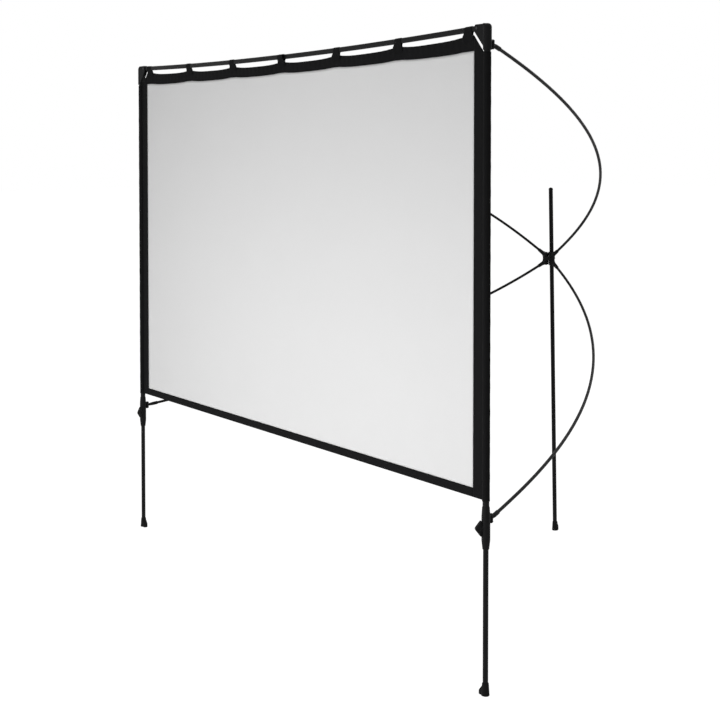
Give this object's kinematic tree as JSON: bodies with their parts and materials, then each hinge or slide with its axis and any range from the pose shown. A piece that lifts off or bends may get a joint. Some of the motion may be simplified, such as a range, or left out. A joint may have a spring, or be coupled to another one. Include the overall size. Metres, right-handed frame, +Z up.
{
  "type": "folding frame projection screen",
  "caption": "Free-standing projection screen: white cloth with black borders on two telescoping posts, held by bowed rods from a hub on a rear pole, with a folding top bar.",
  "frame": {"origin": "on the floor, at the centre of the ground that the screen covers", "axes": "+X along the screen to the viewer's right, +Y to the back, +Z up"},
  "size_m": [2.2992, 1.4866, 2.048],
  "materials": {
    "black_tube": "satin black anodised tube",
    "black_moulding": "fine textured black moulding",
    "black_rod": "smooth black glass fibre rod",
    "dark_steel": "blackened steel",
    "black_cloth": "matt black woven cloth",
    "white_cloth": "matt white projection cloth",
    "black_rubber": "matt black rubber"
  },
  "bodies": {
    "hub": {"hub_body": "black_moulding", "hub_screw": "dark_steel", "pole_bushes": "black_moulding", "left_hub_pin": "dark_steel", "right_hub_pin": "dark_steel"},
    "left_ribs": {"left_upper_rod": "black_rod", "left_lower_rod": "black_rod", "left_upper_rod_end": "black_moulding", "left_lower_rod_end": "black_moulding", "left_hub_wing": "black_moulding"},
    "right_ribs": {"right_upper_rod": "black_rod", "right_lower_rod": "black_rod", "right_upper_rod_end": "black_moulding", "right_lower_rod_end": "black_moulding", "right_hub_wing": "black_moulding"},
    "left_post": {"left_post": "black_tube", "left_top_bracket": "black_moulding", "left_bar_rivet": "dark_steel", "left_leg_clamp": "black_moulding", "left_rod_pins": "dark_steel", "left_side_sleeve": "black_cloth", "screen_cloth": "white_cloth", "top_border": "black_cloth", "bottom_border": "black_cloth"},
    "right_post": {"right_post": "black_tube", "right_top_bracket": "black_moulding", "right_bar_rivet": "dark_steel", "right_leg_clamp": "black_moulding", "right_rod_pins": "dark_steel", "right_side_sleeve": "black_cloth"},
    "left_bar": {"left_half_bar": "black_tube", "left_bar_outer_end": "black_moulding", "left_bar_inner_end": "black_moulding", "left_tabs": "black_cloth", "centre_rivet": "dark_steel", "middle_tab": "black_cloth"},
    "right_bar": {"right_half_bar": "black_tube", "right_bar_outer_end": "black_moulding", "right_bar_inner_end": "black_moulding", "right_tabs": "black_cloth"},
    "left_leg": {"left_leg_tube": "black_tube", "left_leg_bush": "black_moulding", "left_foot": "black_rubber"},
    "right_leg": {"right_leg_tube": "black_tube", "right_leg_bush": "black_moulding", "right_foot": "black_rubber"},
    "left_knob": {"left_clamp_knob": "black_moulding", "left_clamp_stud": "dark_steel"},
    "right_knob": {"right_clamp_knob": "black_moulding", "right_clamp_stud": "dark_steel"},
    "rear_leg": {"rear_pole": "black_tube", "pole_cap": "black_moulding", "rear_foot": "black_rubber"}
  },
  "joints": [
    {"name": "fold", "type": "hinge", "parent": "hub", "child": "left_ribs", "pos_m": [-0.015, 0.67892, 1.205], "axis": [0, 0, 1], "range_deg": [0, 37.48], "deforming": ["screen_cloth", "top_border", "bottom_border", "middle_tab", "left_side_sleeve", "right_side_sleeve", "left_tabs", "right_tabs"]},
    {"name": "right_ribs_turn", "type": "hinge", "parent": "hub", "child": "right_ribs", "pos_m": [0.015, 0.67892, 1.205], "axis": [0, 0, 1], "range_deg": [-37.98, 0.5]},
    {"name": "left_post_turn", "type": "hinge", "parent": "left_ribs", "child": "left_post", "pos_m": [-1.136, -0.68908, 1.205], "axis": [0, 0, 1], "range_deg": [-37.98, 0.5]},
    {"name": "right_post_turn", "type": "hinge", "parent": "right_ribs", "child": "right_post", "pos_m": [1.136, -0.68908, 1.205], "axis": [0, 0, 1], "range_deg": [-0.5, 37.98]},
    {"name": "left_bar_swing", "type": "hinge", "parent": "left_post", "child": "left_bar", "pos_m": [-1.092, -0.71428, 2.0363], "axis": [0, 1, 0], "range_deg": [-0.5, 88.5]},
    {"name": "right_bar_swing", "type": "hinge", "parent": "right_post", "child": "right_bar", "pos_m": [1.092, -0.70588, 2.0363], "axis": [0, 1, 0], "range_deg": [-88.5, 0.5]},
    {"name": "left_leg_slide", "type": "slide", "parent": "left_post", "child": "left_leg", "axis": [0, 0, 1], "range_m": [-0.1, 0.38]},
    {"name": "right_leg_slide", "type": "slide", "parent": "right_post", "child": "right_leg", "axis": [0, 0, 1], "range_m": [-0.1, 0.38]},
    {"name": "rear_pole_slide", "type": "slide", "parent": "hub", "child": "rear_leg", "axis": [0, -0.0236, 0.9997], "range_m": [-0.27, 1.1]},
    {"name": "left_knob_turn", "type": "hinge", "parent": "left_post", "child": "left_knob", "pos_m": [-1.12986, -0.72267, 0.515], "axis": [0.4384, -0.8988, 0], "range_deg": [0, 360]},
    {"name": "right_knob_turn", "type": "hinge", "parent": "right_post", "child": "right_knob", "pos_m": [1.12986, -0.72267, 0.515], "axis": [-0.4384, -0.8988, 0], "range_deg": [0, 360]}
  ],
  "couplings": [
    {"joint": "right_ribs_turn", "follows": "fold", "ratio": -1},
    {"joint": "left_post_turn", "follows": "fold", "ratio": -1},
    {"joint": "right_post_turn", "follows": "fold", "ratio": 1},
    {"joint": "left_bar_swing", "follows": "fold", "ratio": 2.3479},
    {"joint": "right_bar_swing", "follows": "fold", "ratio": -2.3479}
  ]
}
